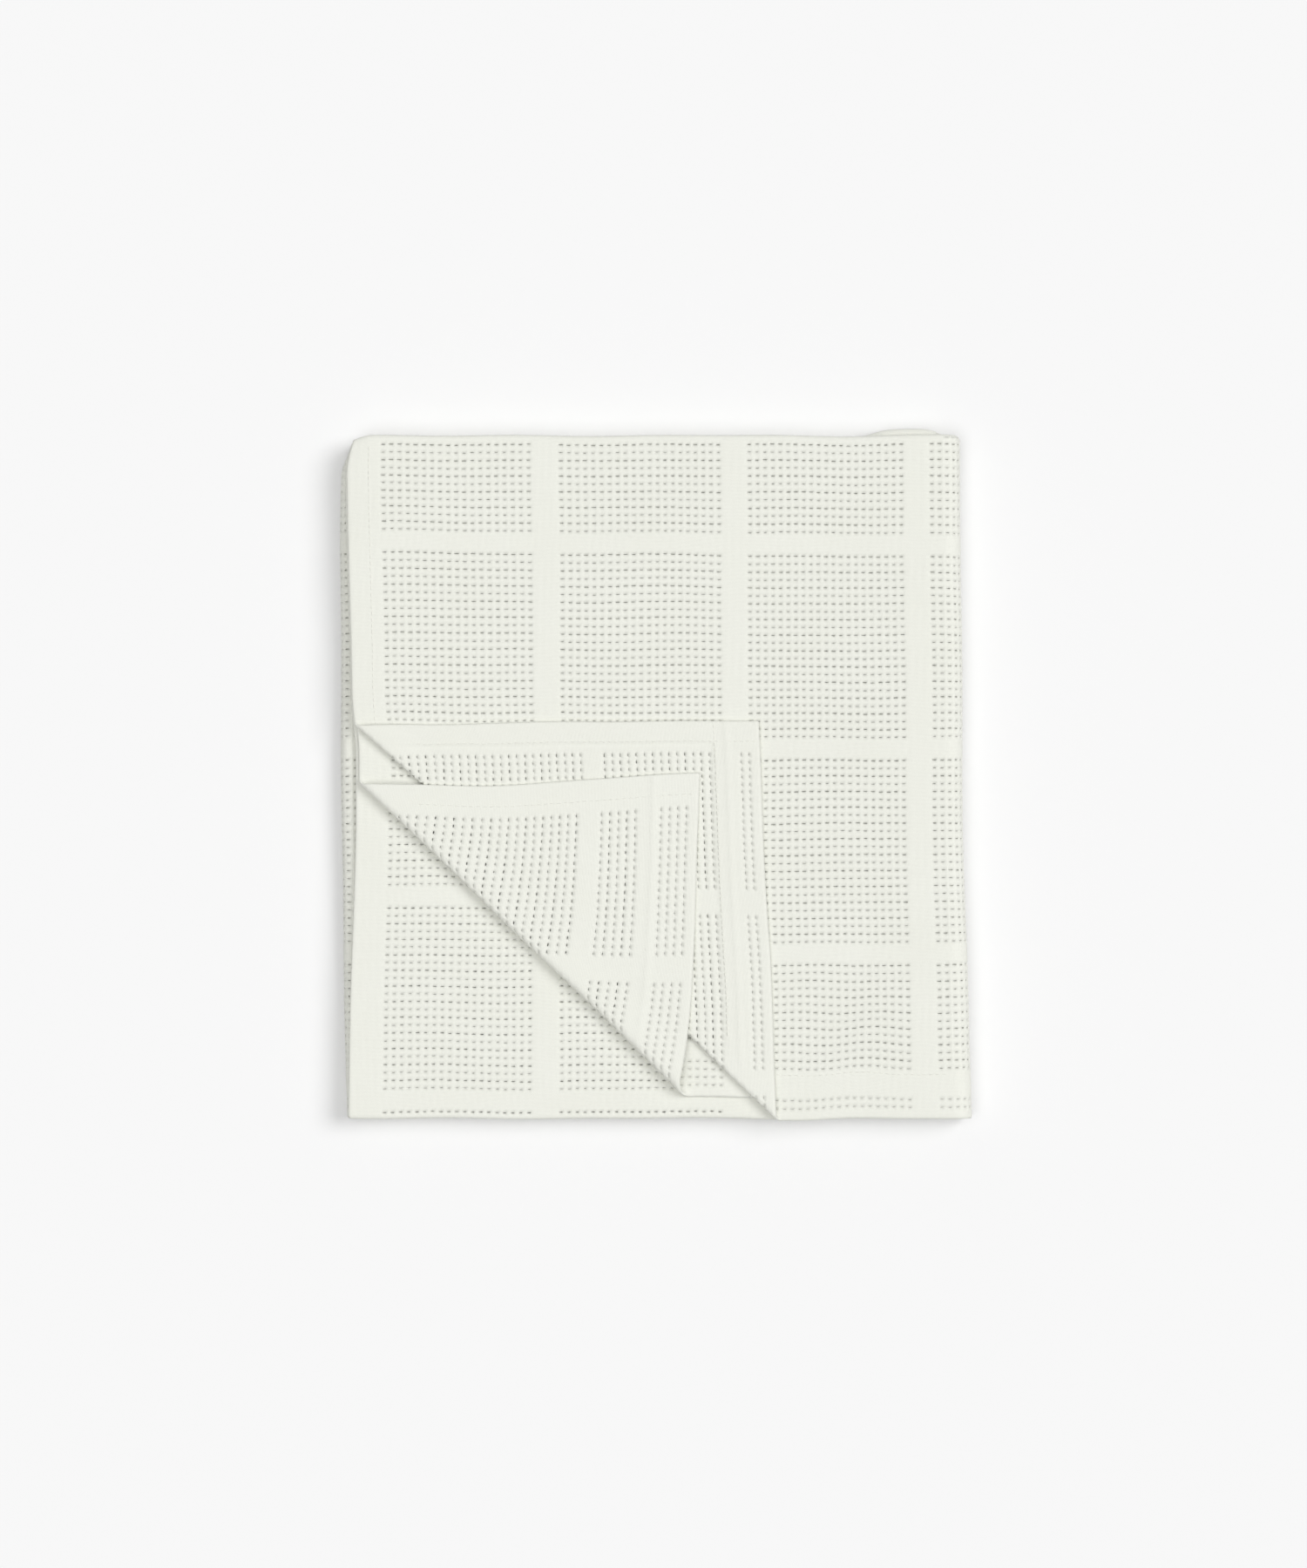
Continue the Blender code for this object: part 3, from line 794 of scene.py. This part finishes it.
def thread_material(name, colour, painted_groove_shade=0.86):
    """Sewing thread: a twist along each stitch, with shade painted darker in the twist's grooves."""
    material, tree, shader = new_material(name)
    link = tree.links.new
    place_at = tree.nodes.new("ShaderNodeTexCoord")
    twist = node(tree, "ShaderNodeTexWave", Scale=900.0, Distortion=0.6)
    twist.bands_direction = "DIAGONAL"
    link(place_at.outputs["Object"], twist.inputs["Vector"])
    bumped = node(tree, "ShaderNodeBump", Strength=0.4, Distance=0.0001)
    link(twist.outputs["Fac"], bumped.inputs["Height"])
    link(bumped.outputs["Normal"], shader.inputs["Normal"])
    # Painted shade: the colour is darker in the grooves of the twist, by this share.
    painted_twist_shade = mixed(tree, twist.outputs["Fac"], (*(painted_groove_shade * c for c in colour), 1), (*colour, 1))
    link(painted_twist_shade, shader.inputs["Base Color"])
    shader.inputs["Roughness"].default_value = 0.7
    shader.inputs["Sheen Weight"].default_value = 0.15
    return material


COTTON = cotton("ivory_cotton", (0.826, 0.832, 0.755), (0.848, 0.854, 0.79))
THREAD = thread_material("ivory_thread", (0.85, 0.85, 0.785))

# ---------------------------------------------------------------- the cloth, piece by piece


def everywhere(col, row):
    return np.ones(np.broadcast(col, row).shape, bool)


# Where each ply's own piece ends and its corner's begins, in metres past the axis: corner 1's roll stays with
# its ply, and corner 2's goes with the corner.
DIVIDED_AT = {CORNER_1: 0.0030, CORNER_2: -0.0032}


def past_corner(corner):
    return lambda col, row: flat_past(corner, col + 0.5, row + 0.5) >= DIVIDED_AT[corner]


def not_past_corner(corner):
    return lambda col, row: flat_past(corner, col + 0.5, row + 0.5) < DIVIDED_AT[corner]


# How far a turned hem stands off the cloth, how far the ridge of its folded-under edge does, and the ridge's
# width in rows. Both fade out towards the fold, over this distance.
HEM_RISE, RIDGE_RISE, RIDGE_WIDTH, HEM_FADE = 0.00055, 0.0004, 0.35, 0.010
# The hems' inner edges, in columns and rows from the cloth's own, and the rows where the ridges lie.
SIDE_HEM_EDGE, END_HEM_EDGE = 3.0, 6.0
RIDGE_ROW_A, RIDGE_ROW_B = 4.2, 5.4


def ridge(rows_from_it):
    return RIDGE_RISE * np.exp(-((rows_from_it / RIDGE_WIDTH) ** 2))


def hem_on_b(col, row):
    """How far corner 1's turned hems stand off face B, with the ridge of the end hem's folded-under edge."""
    step = np.clip(np.maximum((SIDE_HEM_EDGE - col) / 0.2, (END_HEM_EDGE - row) / 0.3), 0, 1)
    fade = np.clip((flat_past(CORNER_1, col, row) - 0.008) / HEM_FADE, 0, 1)
    return fade * (HEM_RISE * step + ridge(row - RIDGE_ROW_A))


def ridge_on_a(col, row):
    """The ridge that end B's folded-under edge makes on face A."""
    fade = np.clip((flat_past(CORNER_2, col, row) - 0.010) / HEM_FADE, 0, 1)
    return fade * ridge(ROW_END - row - RIDGE_ROW_B)


# The patches that hold the corners, and the parts of plies 2 and 3 that show past them, in columns and rows.
CORNER_1_COLS, CORNER_1_ROWS = 56, 53
CORNER_2_COLS, CORNER_2_FIRST_ROW = 51, ROW_END - 48
PLY_2_OPEN_COLS, PLY_2_OPEN_FROM = 60, ROW_END - 57
PLY_3_OPEN_COLS, PLY_3_OPEN_TO = 60, ROW_PLY_3 + 48
# How far the holes go on under the cloth that covers them, in metres from corner 2's axis.
PLY_2_OPEN_PAST, PLY_3_OPEN_PAST = -0.034, -0.006


def open_on_ply_2(col, row):
    """Ply 2 is open where it shows between the two folds, and plain where ply 1 covers it."""
    return flat_past(CORNER_2, col + 0.5, row + 0.5) > PLY_2_OPEN_PAST


def open_on_ply_3(col, row):
    """Ply 3 is open where it shows past corner 2's fold."""
    x = TOP_LEFT_X + (col + 0.5) * CELL
    y = FOOT_FOLD_Y + (row - ROW_PLY_3 + 0.5) * CELL
    return (row >= ROW_PLY_3) & (CORNER_2.past(x, y) > PLY_3_OPEN_PAST)


pieces = {}
OUTER_ROWS = lines((0, ROW_HEAD, FINE_Y), (ROW_HEAD, ROW_PLY_4, FINE_Y))
pieces["top_leaf_ply_1_cloth"] = cloth(
    "top_leaf_ply_1_cloth", lines((0, TOP_COLS, FINE_X)), OUTER_ROWS, COTTON,
    keep=not_past_corner(CORNER_1), holes=lambda col, row: row != ROW_HEAD, seed=1,
)
pieces["corner_1_cloth"] = cloth(
    "corner_1_cloth", lines((0, CORNER_1_COLS, FINE_X)), lines((0, CORNER_1_ROWS, FINE_Y)), COTTON,
    keep=past_corner(CORNER_1), holes=everywhere, raise_b=hem_on_b, openness=0.86, seed=2,
)
pieces["top_leaf_ply_2_cloth"] = cloth(
    "top_leaf_ply_2_cloth",
    lines((0, PLY_2_OPEN_COLS, FINE_X), (PLY_2_OPEN_COLS, TOP_COLS, 2)),
    lines(
        (ROW_INNER_HEAD, ROW_PLY_2, THIRDS),
        (ROW_PLY_2, PLY_2_OPEN_FROM, 2),
        (PLY_2_OPEN_FROM, ROW_END, FINE_Y),
    ),
    COTTON, keep=not_past_corner(CORNER_2), holes=open_on_ply_2, seed=3,
)
pieces["corner_2_cloth"] = cloth(
    "corner_2_cloth", lines((0, CORNER_2_COLS, FINE_X)), lines((CORNER_2_FIRST_ROW, ROW_END, FINE_Y)), COTTON,
    keep=past_corner(CORNER_2), holes=everywhere, raise_a=ridge_on_a, openness=0.80, seed=4,
)
pieces["top_leaf_ply_3_cloth"] = cloth(
    "top_leaf_ply_3_cloth",
    lines((0, PLY_3_OPEN_COLS, FINE_X), (PLY_3_OPEN_COLS, TOP_COLS, 2)),
    lines(
        (ROW_FOOT, ROW_PLY_3, THIRDS),
        (ROW_PLY_3, PLY_3_OPEN_TO, FINE_Y),
        (PLY_3_OPEN_TO, ROW_INNER_HEAD, 2),
    ),
    COTTON, holes=open_on_ply_3, openness=0.88, seed=5,
)
pieces["top_leaf_ply_4_cloth"] = light_cloth(
    "top_leaf_ply_4_cloth", lines((0, TOP_COLS, 1)), lines((ROW_PLY_4, ROW_FOOT, 1)), COTTON, everywhere,
    seed=6,
)

# The spine fold and the pile's own leaves, ply by ply. Each ply holds the head or foot fold it runs into.
PLY_ROWS = {
    1: OUTER_ROWS,
    2: lines((ROW_INNER_HEAD, ROW_PLY_2, THIRDS), (ROW_PLY_2, ROW_END, 2)),
    3: lines((ROW_FOOT, ROW_PLY_3, THIRDS), (ROW_PLY_3, ROW_INNER_HEAD, 2)),
    4: lines((ROW_PLY_4, ROW_FOOT, 2)),
}
for ply, ply_rows in PLY_ROWS.items():
    name = f"spine_fold_ply_{ply}_cloth"
    cuts = FINE_X if ply == 1 else THIRDS
    pieces[name] = cloth(
        name, lines((COL_SPINE, COL_BOTTOM, cuts)), ply_rows, COTTON,
        holes=everywhere if ply == 1 else None, seed=10 + ply,
    )
    if ply == 1:
        light_rows = lines((0, ROW_HEAD, 1), (ROW_HEAD, ROW_PLY_4, THIRDS))
        pieces["pile_bottom_ply_1_cloth"] = light_cloth(
            "pile_bottom_ply_1_cloth", lines((COL_BOTTOM, COL_LEFT, 1)), light_rows, COTTON, everywhere,
            seed=20,
        )
        pieces["pile_left_fold_ply_1_cloth"] = cloth(
            "pile_left_fold_ply_1_cloth", lines((COL_LEFT, COL_INNER, FINE_X)), ply_rows, COTTON,
            holes=everywhere, seed=21,
        )
        pieces["pile_inner_ply_1_cloth"] = light_cloth(
            "pile_inner_ply_1_cloth", lines((COL_INNER, COL_END, 1)), light_rows, COTTON, everywhere,
            seed=22,
        )
    else:
        name = f"pile_ply_{ply}_cloth"
        columns = lines((COL_BOTTOM, COL_LEFT, 2), (COL_LEFT, COL_INNER, THIRDS), (COL_INNER, COL_END, 3))
        pieces[name] = cloth(name, columns, ply_rows, COTTON, seed=30 + ply)

# ---------------------------------------------------------------- stitches

# A thread's middle, from the cloth's own: on face A, and on the hems that stand off face B.
ON_A = THICKNESS / 2 + 0.00008
ON_B = -(THICKNESS / 2 + HEM_RISE + 0.00005)
# The seams run this many cells in from the cloth's edges.
SIDE_SEAM, END_SEAM = 2.72, 5.72
# A run stops this far before a corner's fold on the ply, and starts this far past it on the turned corner.
PLY_STOP, CORNER_START = -0.0005, 0.018


def stay(pairs, corner, turned):
    """The stitches of a run that lie on the ply, or on its turned corner."""
    kept = []
    for a, b in pairs:
        past = [float(flat_past(corner, *end)) for end in (a, b)]
        if (min(past) > CORNER_START) if turned else (max(past) < PLY_STOP):
            kept.append((a, b))
    return kept


side_1 = seam_path(SIDE_SEAM, 0.4, ROW_HEAD - 0.3, True, seed=41)
end_1 = seam_path(END_SEAM, 0.4, TOP_COLS - 0.2, False, seed=42)
side_2 = seam_path(SIDE_SEAM, ROW_END - 45, ROW_END - 0.4, True, seed=43)
end_2 = seam_path(ROW_END - END_SEAM, 0.4, 48, False, seed=44)
seams = {}
for seed, (name, run, corner, turned, offset) in enumerate((
    ("top_leaf_side_seam_stitches", side_1, CORNER_1, False, ON_A),
    ("top_leaf_end_seam_stitches", end_1, CORNER_1, False, ON_A),
    ("corner_1_side_seam_stitches", side_1, CORNER_1, True, ON_B),
    ("corner_1_end_seam_stitches", end_1, CORNER_1, True, ON_B),
    ("corner_2_side_seam_stitches", side_2, CORNER_2, True, ON_A),
    ("corner_2_end_seam_stitches", end_2, CORNER_2, True, ON_A),
), 1):
    seams[name] = stitches(name, stay(run, corner, turned), offset, THREAD, seed=seed)

# ---------------------------------------------------------------- what each piece stands for and rides on

STANDS_FOR = {
    "top_leaf_ply_1_cloth": [
        "top_leaf_ply_1", "top_leaf_ply_1_side_hem", "top_leaf_ply_1_end_hem", "top_leaf_head_fold_outer",
    ],
    "top_leaf_ply_2_cloth": ["top_leaf_ply_2", "top_leaf_head_fold_inner"],
    "top_leaf_ply_3_cloth": ["top_leaf_ply_3", "top_leaf_foot_fold"],
    "top_leaf_ply_4_cloth": ["top_leaf_ply_4"],
    "corner_1_cloth": ["corner_1", "corner_1_side_hem", "corner_1_end_hem", "corner_1_fold"],
    "corner_2_cloth": ["corner_2", "corner_2_side_hem", "corner_2_end_hem", "corner_2_fold"],
    "pile_bottom_ply_1_cloth": ["bottom_leaf_ply_1", "bottom_leaf_head_fold_outer"],
    "pile_left_fold_ply_1_cloth": ["left_fold_ply_1"],
    "pile_inner_ply_1_cloth": ["inner_leaf_ply_1", "inner_leaf_head_fold_outer"],
    "top_leaf_side_seam_stitches": ["top_leaf_ply_1_side_seam"],
    "top_leaf_end_seam_stitches": ["top_leaf_ply_1_end_seam"],
    "corner_1_side_seam_stitches": ["corner_1_side_seam"],
    "corner_1_end_seam_stitches": ["corner_1_end_seam"],
    "corner_2_side_seam_stitches": ["corner_2_side_seam"],
    "corner_2_end_seam_stitches": ["corner_2_end_seam"],
}
LEAF_PARTS = ("bottom_leaf", "left_fold", "inner_leaf")
for ply in PLY_ROWS:
    STANDS_FOR[f"spine_fold_ply_{ply}_cloth"] = [f"spine_fold_ply_{ply}"]
    if ply > 1:
        STANDS_FOR[f"pile_ply_{ply}_cloth"] = [f"{part}_ply_{ply}" for part in LEAF_PARTS]
for ply, fold in ((2, "head_fold_inner"), (3, "foot_fold")):
    STANDS_FOR[f"pile_ply_{ply}_cloth"] += [f"bottom_leaf_{fold}", f"inner_leaf_{fold}"]


for name, obj in {**pieces, **seams}.items():
    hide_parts(*STANDS_FOR[name])
    if name.startswith("corner_"):
        corner = name[: len("corner_1")]
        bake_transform(obj)
    elif name.startswith("spine_"):
        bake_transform(obj)
    else:
        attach(obj, "top_leaf" if name.startswith("top_leaf") else "pile")

# ---------------------------------------------------------------- floor, light and camera


def floor_material():
    material, _, shader = new_material("pale_floor")
    shader.inputs["Base Color"].default_value = (0.852, 0.852, 0.852, 1)
    shader.inputs["Roughness"].default_value = 0.9
    shader.inputs["Specular IOR Level"].default_value = 0.1
    return material


# The floor is just under the pile, so that the two don't share a surface.
FLOOR_SIZE, FLOOR_GAP = 8, 0.0002
bpy.ops.mesh.primitive_plane_add(size=FLOOR_SIZE, location=(0, 0, -FLOOR_GAP))
floor = bpy.context.object
floor.name = "studio_floor"
floor.data.materials.append(floor_material())
floor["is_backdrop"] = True

world = bpy.data.worlds.new("studio")
bpy.context.scene.world = world
world.use_nodes = True
world.node_tree.nodes["Background"].inputs["Color"].default_value = (1.0, 1.0, 1.0, 1)
world.node_tree.nodes["Background"].inputs["Strength"].default_value = 0.27


def soft_sun(name, azimuth, elevation, spread, strength):
    """Even light from a source this many degrees wide. Azimuth 0 is over +X, and 90 over +Y."""
    data = bpy.data.lights.new(name, "SUN")
    data.energy = strength
    data.angle = math.radians(spread)
    lamp = bpy.data.objects.new(name, data)
    a, e = math.radians(azimuth), math.radians(elevation)
    lamp.location = (math.cos(a) * math.cos(e), math.sin(a) * math.cos(e), math.sin(e))
    lamp.rotation_euler = (0, math.pi / 2 - e, a)
    bpy.context.scene.collection.objects.link(lamp)


soft_sun("key_light", azimuth=20, elevation=50, spread=34, strength=1.62)
soft_sun("overhead_light", azimuth=212, elevation=77, spread=52, strength=1.40)

# The camera looks straight down on this point, and its frame is this high at the top of the pile.
CAMERA_X, CAMERA_Y, CAMERA_HEIGHT = -0.0017, -0.0038, 2.6
FRAME_HEIGHT, SENSOR = 0.860, 36
camera_data = bpy.data.cameras.new("camera")
camera_data.sensor_width = SENSOR
camera_data.lens = SENSOR * (CAMERA_HEIGHT - PILE_TOP) / FRAME_HEIGHT
camera = bpy.data.objects.new("camera", camera_data)
camera.location = (CAMERA_X, CAMERA_Y, CAMERA_HEIGHT)
bpy.context.scene.collection.objects.link(camera)
bpy.context.scene.camera = camera
bpy.context.scene.view_settings.view_transform = "Standard"
